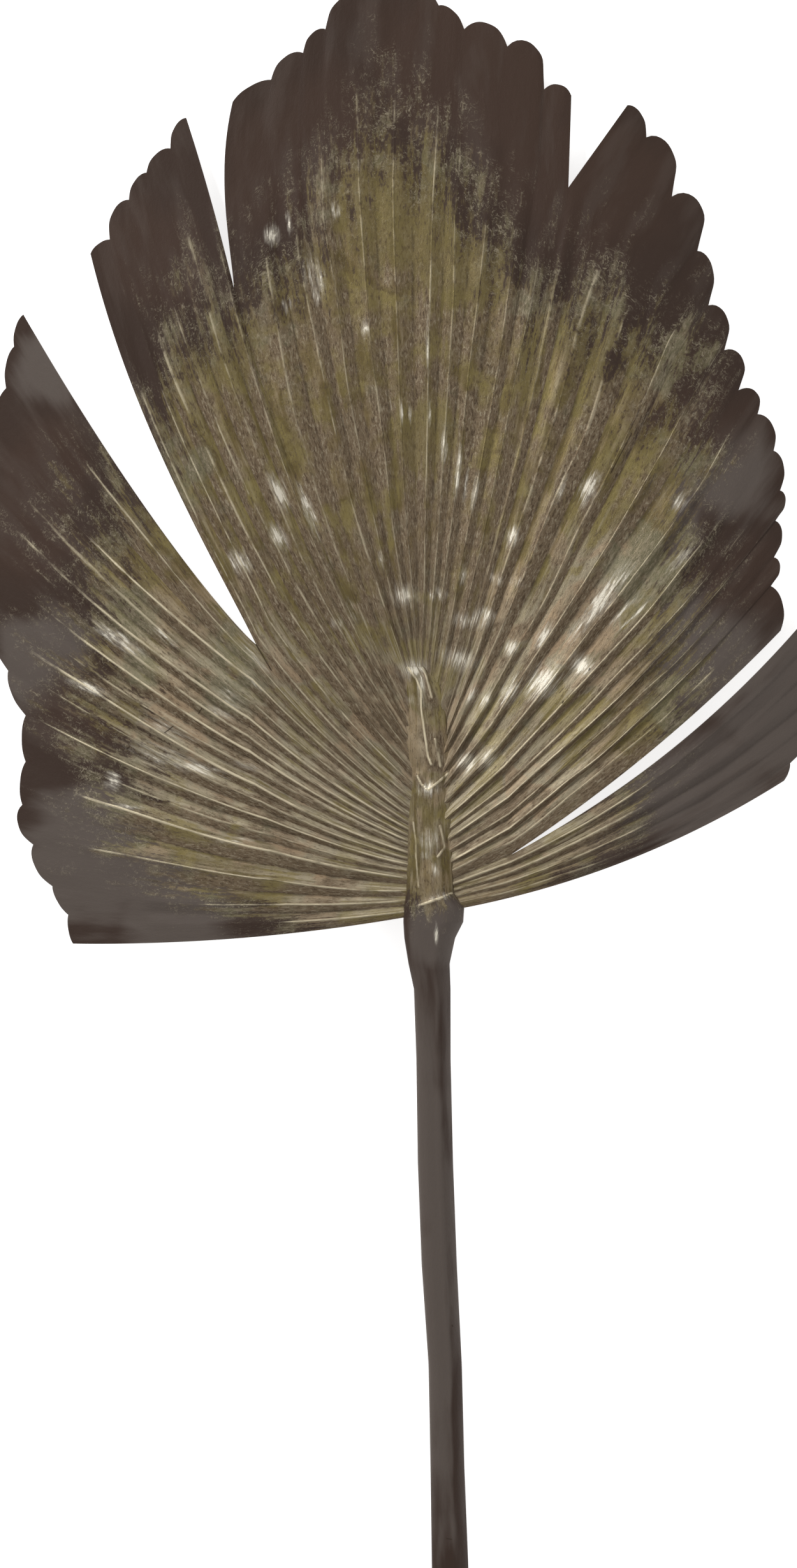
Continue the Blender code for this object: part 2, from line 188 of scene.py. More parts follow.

# Painted highlights: glints on the metal put into the colour as pale spots, seen from a pole over the hub:
# degrees clockwise from straight up the leaf, distance from the pole, length along the folds, width and
# strength. Sizes are in millimetres.
POLE = (0.0, 44.0)
PAINTED_GLINTS = [
    (2.7, 236, 20, 4, 1.0), (5.2, 220, 36, 3, 1.0), (6.7, 212, 24, 2, 0.8), (8.4, 208, 20, 3, 1.0),
    (17.0, 186, 12, 9, 1.0), (26.0, 232, 20, 10, 1.0), (22.0, 224, 24, 5, 0.5), (26.0, 121, 8, 8, 1.0),
    (32.0, 138, 16, 7, 0.9), (32.5, 98, 20, 10, 0.9), (38.3, 176, 52, 10, 1.0), (40.0, 114, 24, 18, 1.0),
    (45.0, 138, 12, 16, 1.0), (42.9, 180, 24, 3, 1.0), (45.2, 184, 24, 2, 0.9), (16.0, 135, 8, 12, 0.9),
    (11.5, 128, 8, 24, 0.8), (11.0, 104, 12, 24, 0.9), (2.5, 142, 5, 12, 0.9), (8.5, 156, 12, 5, 0.6),
    (15.8, 158, 5, 12, 0.7), (20.5, 160, 6, 9, 0.6), (19.7, 84, 12, 6, 0.9), (26.0, 85, 12, 7, 0.9),
    (34.0, 45, 14, 12, 1.0), (45.0, 54, 16, 10, 0.8), (38.5, 256, 12, 8, 0.8), (43.8, 225, 30, 10, 0.5),
    (-68.3, 228, 24, 6, 1.0), (-76.8, 148, 36, 6, 1.0), (-82.5, 197, 10, 11, 1.0),
    (-59.3, 224, 36, 8, 0.9), (-54.5, 200, 20, 5, 0.7), (-57.5, 144, 24, 9, 0.5),
    (-72.5, 116, 20, 4, 0.7), (-46.2, 148, 26, 4, 0.6), (-35.6, 200, 16, 12, 0.9),
    (-27.3, 200, 16, 8, 1.0), (-24.0, 226, 20, 9, 1.0), (-20.7, 208, 32, 6, 0.9),
    (-23.8, 136, 5, 8, 0.9), (-5.5, 142, 12, 16, 1.0), (-9.8, 166, 10, 3, 0.8), (-7.0, 310, 10, 5, 0.9),
    (-4.7, 260, 5, 4, 0.8), (-3.4, 256, 12, 2, 0.7), (-2.2, 256, 12, 2, 0.7), (0.2, 300, 36, 2, 0.8),
    (0.5, 256, 16, 2, 0.8), (-11.5, 348, 24, 12, 0.7), (-15.0, 334, 6, 8, 0.7), (-14.7, 380, 10, 8, 1.0),
    (-12.9, 385, 12, 3, 0.9), (-8.4, 386, 8, 6, 0.9), (-11.8, 336, 10, 5, 0.9), (-19.5, 140, 16, 6, 0.5),
    (-76.0, 168, 52, 15, 0.5), (-70.0, 172, 60, 10, 0.4), (-87.0, 190, 30, 3, 0.6),
    (-95.5, 118, 24, 4, 0.6), (-62.0, 146, 24, 5, 0.5), (-50.8, 140, 30, 4, 0.5),
    (-4.6, 96, 11, 17, 1.0), (-2.0, 86, 22, 5, 0.8), (2.2, 21, 9, 12, 1.0), (166, 11.5, 15, 13, 0.6),
    (170, 30, 9, 8, 0.55), (181, 20, 7, 7, 0.5), (-7.4, 77, 6, 6, 0.5), (168, 47, 5, 16, 0.5),
    (175, 69, 12, 2.6, 0.9),
]

# Broad zones of the finish: middle in X and Y from the hub, and radius, all in millimetres. A zone is full
# and gone at these shares of its radius.
ZONE_EDGE = (0.25, 1.25)
ZONES = dict(
    grey=[(-240, 145, 40), (-215, 20, 60), (-150, -5, 60), (185, 265, 50), (150, 235, 35),
          (180, 150, 60), (225, 120, 75), (175, 70, 60), (-235, 330, 30), (0, -250, 230), (8, -24, 28)],
    red=[(-255, 225, 45), (-240, 265, 40), (-95, 440, 60), (-60, 480, 50), (95, 440, 70), (60, 500, 45),
         (200, 195, 40), (170, 300, 50), (-170, 400, 50), (20, 520, 70), (-215, 110, 40)],
    silver=[(0, 90, 110), (-120, 98, 105), (-150, 78, 45), (-60, 30, 70), (75, 150, 60), (70, 60, 60),
            (110, 190, 50)],
    green=[(-155, 262, 30), (-205, 64, 34), (-122, 138, 30), (163, 340, 38), (138, 203, 34),
           (-188, 172, 26), (158, 112, 34), (-178, 140, 20)],
    olive=[(-10, 425, 60), (25, 395, 45), (-128, 340, 32), (0, 285, 30), (112, 345, 32)],
)
# Places past the bronze's edge where it comes back, and how far it counts as drawn in there.
ISLANDS = [(165, 343, 24), (184, 268, 18)]
ISLAND_REACH = 40 * MM

# Cracks and dark specks: both ends in millimetres from the hub, and half width. Then how far past that
# they fade, and how ragged their sides are.
MARKS = [
    ((-163, 100), (-158, 104), 0.35), ((-142, 112), (-140, 115), 0.3), ((-187, 90), (-185.5, 91), 0.5),
    ((128.4, 287), (115.2, 262), 0.3), ((-106, 155), (-96.5, 139), 0.4),
    ((84.8, 118.5), (85.5, 119.5), 0.5), ((101.5, 139), (102, 140), 0.5),
    ((16.4, -270.4), (16.6, -271), 0.4), ((13, -404), (16, -404.5), 0.25),
]
MARK_FADE = 0.5
MARK_RAGGED = 0.3 * MM

# Sections of the stalk, the neck and the costa: distance along Y from the hub, middle in X, half width,
# half height and the middle's height over the floor, all in millimetres.
SECTIONS = [
    (-484, 16.5, 11.5, 6.5, 6.5),
    (-420, 15.0, 11.4, 6.5, 6.5),
    (-360, 13.4, 10.6, 6.5, 7.0),
    (-296, 12.0, 10.4, 6.5, 8.6),
    (-232, 8.2, 11.0, 6.6, 11.6),
    (-168, 5.8, 11.0, 6.6, 15.6),
    (-104, 4.6, 10.7, 6.7, 20.2),
    (-60, 3.8, 11.4, 6.8, 24.0),
    (-44, 1.8, 12.8, 6.9, 25.6),
    (-28, 2.2, 15.8, 7.0, 27.4),
    (-18, 4.4, 18.6, 7.0, 28.8),
    (-9, 4.8, 18.8, 6.6, 29.6),
    (0, 2.4, 14.8, 5.2, 30.4),
    (40, 2.0, 13.6, 4.0, 30.2),
    (84, 1.4, 13.4, 3.8, 30.0),
    (120, -1.0, 12.6, 3.6, 29.8),
    (134, -3.6, 10.8, 3.2, 29.4),
    (141, -6.6, 7.6, 2.2, 29.2),
]

# One section's outline in half widths and half heights, from its left side over the crest and round the
# flat back.
PROFILE = [(-1.0, -0.1), (-0.9, 0.42), (-0.5, 0.8), (0.0, 0.95), (0.35, 1.0), (0.72, 0.6), (1.0, -0.1),
           (0.9, -0.6), (0.5, -1.0), (-0.5, -1.0), (-0.9, -0.6)]
# The same on the costa, whose sides run out softly into the blade.
COSTA_PROFILE = [(-1.0, -0.1), (-0.78, 0.22), (-0.45, 0.68), (-0.05, 0.95), (0.3, 0.92), (0.68, 0.3),
                 (1.0, -0.1), (0.9, -0.6), (0.5, -1.0), (-0.5, -1.0), (-0.9, -0.6)]
COSTA_FROM = (-10, 25)      # where one outline passes into the other, in millimetres along Y from the hub
POINTS_A_SIDE = 6           # points of the fine section between two of the profile's corners
RING_STEP = 1.2             # millimetres between rings on the costa and the neck
STALK_STEP = 5.0            # and on the bare stalk
FINE_FROM = -60.0           # where the narrow rings start, in millimetres along Y from the hub

# Heights on a section, in half heights: where its upper side starts, where it is full, how much lower that
# is on the costa, and from which share of it on a fold counts.
UPPER_FROM = -0.2
UPPER_FULL = 0.4
COSTA_LOWER = 0.3
FOLD_COUNTS = 0.3

# Raised folds on the costa and the neck: their course, height and half width in millimetres, and how
# bright they are. Farther than FOLD_REACH from all of them, the skin counts as plain.
COSTA_FOLDS = [
    (((-15.2, 141), (-7, 142), (-2.4, 141), (0, 136), (3.6, 122)), 0.9, 1.3, 0.6),
    (((-11, 140), (-6, 133), (-3.2, 126), (-3.2, 115), (-1.2, 101), (1.2, 85), (3.2, 80)), 1.3, 1.9, 1.0),
    (((5.6, 96), (7.2, 88), (8, 84), (8.8, 79)), 0.5, 1.0, 0.7),
    (((-5.6, 73), (-3.2, 68), (0.8, 64), (7.2, 69), (16.8, 77)), 1.1, 1.7, 0.9),
    (((8.8, 42), (11.6, 28.4), (7.2, 22.8)), 0.7, 1.1, 0.8),
    (((-8, 44), (-6.4, 32), (-6.4, 22.8), (-4.8, 4)), 0.8, 1.3, 0.6),
    (((-4.8, -7.6), (8, -3.2), (14.4, -0.4), (19, 1)), 1.1, 1.4, 0.9),
    (((3.2, -18), (7.2, -28), (9.6, -33)), 0.5, 1.2, 0.7),
]
FOLD_REACH = 7.0
FOLD_SPACE = 18             # millimetres that one fold's pattern of crest and valley takes

# Dents of the costa's skin: height, length in X and in Y in millimetres, and the number that draws them.
SKIN_DENTS = ((0.7, 8, 13, 21), (0.3, 3, 6, 22))
SKIN_DENTS_FROM = (-40, 10)  # where they come in, in millimetres along Y from the hub
NOISE_SHIFT = 40            # cells by which their noise is moved along

# The finish on the stalk: its girth and place in the coordinate across the folds, where the bronze starts
# and how fast it gains, in millimetres along Y from the hub, and how much grey and silver it has.
GIRTH = 48                  # millimetres
STALK_FOLD_X = 0.9
BRONZE_FROM = -14
BRONZE_GAIN = 4
BRONZE_MOST = 160.0
# Painted shade: the stalk's right side below the neck is made less grey and so darker.
SHADED_SIDE = (0.2, 0.5)    # in half widths, where the stalk's darker side starts and is full
SHADED_UP_TO = (-60, -20)   # where that side ends, in millimetres along Y from the hub
SHADED_LESS_GREY = 0.6
STALK_SILVER = 0.4

# Noises of the finish along the folds: cells a metre across and along them, detail, roughness, distortion.
GRAIN = ((700.0, 240.0), 4.0, 0.75, 0.5)
STROKES = ((1100.0, 230.0), 3.0, 0.75, 0.8)
STREAK = ((420.0, 26.0), 4.0, 0.6, 0.0)
BAND = ((110.0, 14.0), 3.0, 0.55, 0.0)
FEATHER = ((800.0, 130.0), 2.0, 0.6, 1.4)
BRUSH = ((620.0, 50.0), 3.0, 0.65, 0.3)
CURLS = (((300.0, 120.0), 1.0, 0.5, 2.4), ((210.0, 170.0), 1.0, 0.5, 3.2))
# And those with no direction: cells a metre, detail, roughness, distortion.
CLOUD = (13.0, 2.0, 0.55, 0.0)
BLOTCH = (60.0, 4.0, 0.6, 0.0)
FINE = (1500.0, 2.0, 0.6, 0.0)
PATCHES = (28.0, 2.0, 0.5, 0.8)


def colour(red, green, blue):
    """A surface colour from its 0 to 255 screen values."""
    return tuple((value / 255) ** 2.2 for value in (red, green, blue)) + (1.0,)


UMBER = colour(62, 49, 42)
GREY_UMBER = colour(92, 83, 77)
RED_UMBER = colour(68, 53, 45)
WORN_BROWN = colour(86, 72, 57)
DULL_BROWN = colour(118, 102, 82)
ROSY_BRONZE = colour(158, 132, 104)
OLIVE_BROWN = colour(102, 89, 57)
OLIVE_GOLD = colour(134, 121, 78)
CALM_OLIVE = colour(113, 101, 64)
DULL_SILVER = colour(160, 149, 127)
PAINTED_LIT_BRONZE = colour(192, 180, 154)
VERDIGRIS = colour(118, 117, 92)
CREAM = colour(230, 216, 184)
GLINT_HIGHLIGHT_COLOUR = colour(240, 232, 214)
DEEP_BROWN = colour(54, 43, 33)
WHITE = (1.0, 1.0, 1.0, 1.0)

# The floor, which glows a little so that it is nearly free of shadow, and the lights with their places,
# sizes and powers.
FLOOR_REACH = 20.0
FLOOR_COLOUR = (0.92, 0.92, 0.91, 1.0)
FLOOR_ROUGHNESS = 0.9
FLOOR_SPECULAR = 0.1
FLOOR_GLOW = 0.75
LEAF_SPECULAR = 0.2
SKY_LIGHT = 0.44
LIGHTS = (("key", (-1.7, 1.9, 1.6), 0.8, 52.0), ("fill", (1.8, -1.0, 2.4), 2.0, 13.0))

# The picture's frame: what it is centred on and its size, in millimetres in the part's frame.
VIEW_CENTRE = np.array([-11.0, 24.0])
VIEW_LONG_SIDE = 984.0
CAMERA_HEIGHT = 4.0
SENSOR = 36.0


def smooth_noise(x, y, seed):
    """Smooth noise from -1 to 1 over a plane, with cells one unit wide."""
    table = np.random.default_rng(seed).uniform(-1, 1, (NOISE_CELLS, NOISE_CELLS))
    column, row = np.floor(x).astype(int), np.floor(y).astype(int)
    s, t = x - column, y - row
    s, t = s * s * (3 - 2 * s), t * t * (3 - 2 * t)
    row, column, below, beside = (n % NOISE_CELLS for n in (row, column, row + 1, column + 1))
    left = table[row, column] * (1 - t) + table[below, column] * t
    right = table[row, beside] * (1 - t) + table[below, beside] * t
    return left * (1 - s) + right * s


def smooth_step(value, low, high):
    share = np.clip((value - low) / (high - low), 0, 1)
    return share * share * (3 - 2 * share)


def unit(vectors):
    return vectors / np.linalg.norm(vectors, axis=-1, keepdims=True)


def arc(start, end, bow, skew, shares):
    """Points along the chord from start to end, bowed out to its left."""
    start, end = np.array(start, float), np.array(end, float)
    chord = end - start
    left = np.array([-chord[1], chord[0]]) / np.hypot(*chord)
    shares = np.asarray(shares)[:, None]
    bend = shares ** skew
    return start + chord * shares + left * bow * 4 * bend * (1 - bend)


def fold_line(fold, end, free_bow, rows):
    """A lobe's bounding fold, and how far past its slit it swings from the line it would have kept to."""
    if fold["apex"] is None:
        line = arc(fold["root"], end, *free_bow, rows)
        return line, np.zeros_like(line)
    split = fold["row"]
    kept = arc(fold["root"], fold["apex"], fold["bow"], 1.0, rows / split)
    edge = arc(fold["apex"], end, *free_bow, np.clip((rows - split) / (1 - split), 0, 1))
    return kept, np.where((rows <= split + SLACK)[:, None], 0.0, edge - kept)


def root_line(lobe, across):
    """Where a lobe's folds leave the costa, for shares across the lobe."""
    start, end = (np.array(FOLDS[name]["root"], float) for name in lobe["folds"])
    across = across[:, None]
    if lobe["root_bulge"] is None:
        return start + (end - start) * across
    pull = np.array(lobe["root_bulge"], float)
    return start * (1 - across) ** 2 + pull * 2 * across * (1 - across) + end * across ** 2


def margin_line(lobe, roots, across):
    """The scalloped margin: from notch to notch, pushed out between fold and chord's square."""
    notches = np.array(lobe["notches"], float)
    pleats = len(notches) - 1
    pleat = np.minimum((across * pleats + SLACK).astype(int), pleats - 1)
    share = (across * pleats - pleat)[:, None]
    line = notches[pleat] * (1 - share) + notches[pleat + 1] * share
    chord = unit(notches[pleat + 1] - notches[pleat])
    square = np.stack([-chord[:, 1], chord[:, 0]], axis=1)
    near_notch = np.abs(2 * share - 1)
    outward = unit(unit(line - roots) * (1 + NOTCH_PULL * near_notch ** NOTCH_POWER) + square)
    bulge = 1 - near_notch ** SCALLOP_ROUNDNESS
    return line + outward * bulge * np.array(lobe["scallops"])[pleat, None]


def lobe_plan(lobe, rows, across):
    """X and Y of the lobe's grid, rows from costa to margin by columns across, between its four sides."""
    roots = root_line(lobe, across)
    margin = margin_line(lobe, roots, across)
    v, s = rows[:, None, None], across[None, :, None]
    sides, weights = 0.0, (1 - s, s)
    for name, end, bow, weight, flare in zip(lobe["folds"], (0, -1), lobe["bows"], weights, lobe["flares"]):
        kept, swing = fold_line(FOLDS[name], lobe["notches"][end], bow, rows)
        sides = sides + kept[:, None] * weight + swing[:, None] * weight ** flare
    return (sides + (1 - v) * (roots - sides[:1]) + v * (margin - sides[-1:])) * MM


def lobe_lift(lobe, across):
    """Height of the margin's underside over the surface, lowest at the lobe's low share."""
    start, middle, end = lobe["lifts"]
    low = lobe["low"]
    away = np.where(across < low, (low - across) / low, (across - low) / (1 - low))
    return (middle + (np.where(across < low, start, end) - middle) * away ** LIFT_POWER) * MM


def blade_rows():
    rows, start = [0.0], 0.0
    for end, count in ROW_STEPS:
        rows.extend(np.linspace(start, end, count + 1)[1:])
        start = end
    return np.array(rows)


def painted_glints_at(x, y):
    """How far each place, in millimetres from the hub, lies within the painted highlight spots."""
    total = np.zeros_like(x)
    for degrees, distance, length, width, strength in PAINTED_GLINTS:
        aim = np.array([math.sin(math.radians(degrees)), math.cos(math.radians(degrees))])
        dx, dy = x - POLE[0] - aim[0] * distance, y - POLE[1] - aim[1] * distance
        along, aside = dx * aim[0] + dy * aim[1], dy * aim[0] - dx * aim[1]
        spot = np.exp(-(along / length * 2) ** 2 - (aside / width * 2) ** 2)
        total = np.maximum(total, spot * strength)
    return total


def zone_at(zones, x, y):
    """How far each place, in millimetres from the hub, lies within a set of round zones."""
    total = np.zeros_like(x)
    for middle_x, middle_y, radius in zones:
        away = np.hypot(x - middle_x, y - middle_y) / radius
        total = np.maximum(total, 1 - smooth_step(away, *ZONE_EDGE))
    return total


def finish_facts(x, y):
    """What the material needs to know about its zones, for places in millimetres from the hub."""
    return dict(rubbed=painted_glints_at(x, y), **{name: zone_at(zones, x, y) for name, zones in ZONES.items()})


def smooth_shares(lobe, rows, across, run):
    """Shares of the way to a smooth line along the scallops' tips, and each column's length to it."""
    heights = np.array(lobe["scallops"], float)
    count = len(heights)
    pleat = np.minimum((across * count + SLACK).astype(int), count - 1)
    short = np.abs(2 * (across * count - pleat) - 1) ** SCALLOP_ROUNDNESS
    length = run[-1] + short * heights[pleat] * MM
    window = np.hanning(2 * COLUMNS + 1)
    even = np.convolve(np.pad(length, COLUMNS, mode="edge"), window / window.sum(), mode="valid")
    near_end = 1 - smooth_step(np.minimum(across, 1 - across) * count, 0, END_BLEND)
    end = np.where(across < 0.5, run[-1, 0], run[-1, -1]) + END_SCALLOP
    even = even * (1 - near_end) + end * near_end
    return np.minimum(rows[:, None] * run[-1] / even, 1.0), even


def ridge_field(lobe, rows, across, run, width):
    """For each point: its phase, which passes a half at each crest and a whole in each valley, the gap
    between the ridges there, and the height and the brightness given for its ridge."""
    ridges = np.array(lobe["ridges"], float)
    count = len(ridges)
    drift = smooth_step(rows, *RIDGES_TURN)[:, None]
    crests = ridges[:, 0] * (1 - drift) + ridges[:, 1] * drift
    ends = np.column_stack([np.zeros(len(rows)), crests, np.ones(len(rows))])
    gaps = np.diff(ends, axis=1)
    reach = run[:, :1] + np.arange(count) * WANDER_SHIFT * MM
    stray = smooth_noise(reach / WANDER_LENGTH, reach * 0, seed=3)
    crests = crests + WANDER * np.minimum(gaps[:, :-1], gaps[:, 1:]) * stray
    knots = np.empty((len(rows), 2 * count + 1))
    knots[:, 0], knots[:, -1] = 0.0, 1.0
    knots[:, 1::2] = crests
    knots[:, 2:-1:2] = crests[:, :-1] + np.diff(crests, axis=1) * lobe["steep"]
    values = np.arange(2 * count + 1) / 2
    phase = np.stack([np.interp(across, knots[i], values) for i in range(len(rows))])
    nearest = np.clip(phase.astype(int), 0, count - 1)
    left = np.take_along_axis(knots, nearest * 2, axis=1)
    right = np.take_along_axis(knots, nearest * 2 + 2, axis=1)
    return phase, (right - left) * width, ridges[nearest, 2], ridges[nearest, 3]


def lobe_sheet(lobe, rows, first_scallop):
    """One lobe's upper face as a grid of points, with what its material needs to know at each."""
    scallops = len(lobe["notches"]) - 1
    across = np.linspace(0, 1, scallops * COLUMNS + 1)
    plan = lobe_plan(lobe, rows, across)
    x, y = plan[..., 0], plan[..., 1]
    v = rows[:, None]
    steps = np.linalg.norm(np.diff(plan, axis=0), axis=2)
    run = np.concatenate([np.zeros((1, len(across))), np.cumsum(steps, 0)])
    width = np.linalg.norm(np.diff(plan, axis=1), axis=2).sum(axis=1, keepdims=True)
    phase, gap, tall, bright = ridge_field(lobe, rows, across, run, width)

    part = phase % 1
    near = 1 - np.abs(2 * part - 1)
    shape = near * (1 - lobe["roundness"]) + (0.5 - 0.5 * np.cos(np.pi * near)) * lobe["roundness"]
    number = np.floor(phase)
    change = smooth_noise((first_scallop + number) * HEIGHT_SHIFT + 0.5, run / HEIGHT_LENGTH, seed=5)
    even_v, length = smooth_shares(lobe, rows, across, run)
    inner = smooth_step(v, *lobe["start"]) * (1 - smooth_step(even_v, *RIDGES_FADE))
    height = np.minimum(gap * RIDGE_SLOPE, RIDGE_MOST) * tall * (1 + HEIGHT_CHANGE * change)
    foot = lobe_lift(lobe, across) + THICKNESS / 2 + SCALLOP_WAVE / 2
    arch = even_v ** ARCH_POWER
    z = HUB_RISE * (1 - arch) + foot * arch + (height * shape - RIDGE_SINK * RIDGE_MOST) * inner
    z = z - SCALLOP_WAVE / 2 * np.cos(2 * np.pi * across * scallops) * smooth_step(even_v, *WAVE_RISES)

    fold_x = np.broadcast_to((first_scallop + across * scallops) * FOLD_PITCH, run.shape)
    relief = DENTS * smooth_noise(fold_x / DENT_WIDTH, run / DENT_LENGTH, seed=8)
    relief = relief + SWELL * smooth_noise(x / SWELL_LENGTH, y / SWELL_LENGTH, seed=11)
    z = z + relief * smooth_step(v, *RELIEF_RISES) * (1 - smooth_step(even_v, *RELIEF_FADES))

    patina = np.interp(across, np.linspace(0, 1, len(lobe["patina"])), lobe["patina"])
    reach = (patina - even_v) * length + ISLAND_REACH * zone_at(ISLANDS, x / MM, y / MM)
    facts = dict(
        fold_x=fold_x, fold_y=run, phase=phase, gap=gap, bright=bright * smooth_step(v, *lobe["start"]),
        painted_shade_side=np.full_like(run, lobe["painted_shade_side"]), reach=reach, upper=np.ones_like(run),
        **finish_facts(x / MM, y / MM),
    )
    return np.dstack([x + HUB[0] * MM, y + HUB[1] * MM, z + THICKNESS / 2]), facts


def quads(ids):
    """Triangles over a grid of point numbers."""
    a, b, c, d = ids[:-1, :-1], ids[1:, :-1], ids[1:, 1:], ids[:-1, 1:]
    return np.concatenate([np.stack(t, axis=-1).reshape(-1, 3) for t in ((a, b, c), (a, c, d))])


def rim(upper, lower):
    """Triangles between two chains of points, of which the lower has every point or every second."""
    if len(upper) == len(lower):
        a, b, c, d = upper[:-1], upper[1:], lower[1:], lower[:-1]
        return np.concatenate([np.stack(t, axis=-1) for t in ((a, b, c), (a, c, d))])
    a, b, c, d, e = upper[:-2:2], upper[1:-1:2], upper[2::2], lower[1:], lower[:-1]
    return np.concatenate([np.stack(t, axis=-1) for t in ((a, b, e), (b, d, e), (b, c, d))])


def blade_mesh():
    """Points, facts and triangles of the blade. Neighbouring lobes share a fold as far as their slit."""
    rows = blade_rows()
    points, facts, faces = [], {}, []
    shared, first_scallop = {}, 0
    for lobe in LOBES:
        grid, known = lobe_sheet(lobe, rows, first_scallop)
        under = grid[:, ::2] - [0, 0, THICKNESS]
        start = sum(len(p) for p in points)
        top = np.arange(grid.shape[0] * grid.shape[1]).reshape(grid.shape[:2]) + start
        low = np.arange(under.shape[0] * under.shape[1]).reshape(under.shape[:2]) + top[-1, -1] + 1
        points += [grid.reshape(-1, 3), under.reshape(-1, 3)]
        for name, values in known.items():
            beneath = values[:, ::2] * (0 if name == "upper" else 1)
            facts.setdefault(name, []).extend([values.reshape(-1), beneath.reshape(-1)])
        for row, (twin, twin_under) in shared.items():
            top[row, 0], low[row, 0] = twin, twin_under
        split = [FOLDS[name]["row"] for name in lobe["folds"]]
        joined = [row for row, v in enumerate(rows) if split[1] > 0 and v <= split[1] + SLACK]
        shared = {row: (top[row, -1], low[row, -1]) for row in joined}
        faces += [quads(top), quads(low)[:, ::-1], rim(top[-1], low[-1]), rim(top[0], low[0])]
        for side, name in ((0, lobe["folds"][0]), (-1, lobe["folds"][1])):
            free = int(np.argmin(np.abs(rows - FOLDS[name]["row"])))
            faces.append(rim(top[free:, side], low[free:, side]))
        first_scallop += len(lobe["notches"]) - 1
    return np.vstack(points), {k: np.concatenate(v) for k, v in facts.items()}, np.vstack(faces)


def add_piece(name, points, faces, facts):
    """An object with smooth faces, sharp edges where its rim turns, and an attribute for each fact."""
    mesh = bpy.data.meshes.new(name)
    mesh.from_pydata(points.tolist(), [], [tuple(face) for face in faces.tolist()])
    for key, values in facts.items():
        mesh.attributes.new(key, "FLOAT", "POINT").data.foreach_set("value", values.astype(np.float32))
    shape = bmesh.new()
    shape.from_mesh(mesh)
    bmesh.ops.delete(shape, geom=[v for v in shape.verts if not v.link_faces], context="VERTS")
    bmesh.ops.recalc_face_normals(shape, faces=shape.faces[:])
    for face in shape.faces:
        face.smooth = True
    for edge in shape.edges:
        steep = sorted(abs(face.normal.z) for face in edge.link_faces)
        edge.smooth = not (steep and steep[0] < UPRIGHT and steep[-1] > LEVEL)
    shape.to_mesh(mesh)
    shape.free()
    piece = bpy.data.objects.new(name, mesh)
    bpy.context.scene.collection.objects.link(piece)
    return piece


def round_profile(corners):
    """A section's outline as a smooth closed curve through its corners."""
    corners = np.array(corners)
    points = []
    for i in range(len(corners)):
        p0, p1, p2, p3 = (corners[(i + k - 1) % len(corners)] for k in range(4))
        for t in np.arange(POINTS_A_SIDE) / POINTS_A_SIDE:
            points.append(0.5 * (2 * p1 + (p2 - p0) * t + (2 * p0 - 5 * p1 + 4 * p2 - p3) * t ** 2
                                 + (3 * p1 - p0 - 3 * p2 + p3) * t ** 3))
    return np.array(points)


def distance_to(course, x, y):
    """Distance in the plane from each point to a course of straight stretches, all in millimetres."""
    nearest = np.full(x.shape, np.inf)
    for (ax, ay), (bx, by) in zip(course[:-1], course[1:]):
        dx, dy = bx - ax, by - ay
        share = np.clip(((x - ax) * dx + (y - ay) * dy) / (dx * dx + dy * dy), 0, 1)
        nearest = np.minimum(nearest, np.hypot(x - ax - dx * share, y - ay - dy * share))
    return nearest


def rachis_facts(x, y, x_share, crest, bright, top):
    """What the material needs to know on the stalk, neck and costa, with places in millimetres."""
    girth = np.broadcast_to(np.arange(x.shape[1]) / x.shape[1] * GIRTH * MM, x.shape)
    zones = finish_facts(x, y)
    # Painted shade on the stalk's right side: less grey, so darker.
    shaded = smooth_step(x_share, *SHADED_SIDE) * (1 - smooth_step(y, *SHADED_UP_TO))
    zones["grey"] = zones["grey"] * (1 - SHADED_LESS_GREY * shaded)
    zones["silver"] = zones["silver"] * STALK_SILVER
    return dict(
        fold_x=girth + STALK_FOLD_X, fold_y=y * MM, phase=0.5 + crest / FOLD_SPACE,
        gap=np.full(x.shape, FOLD_SPACE * MM), bright=bright, painted_shade_side=np.full(x.shape, -1.0),
        reach=np.minimum((y - BRONZE_FROM) * BRONZE_GAIN, BRONZE_MOST) * MM, upper=top, **zones,
    )


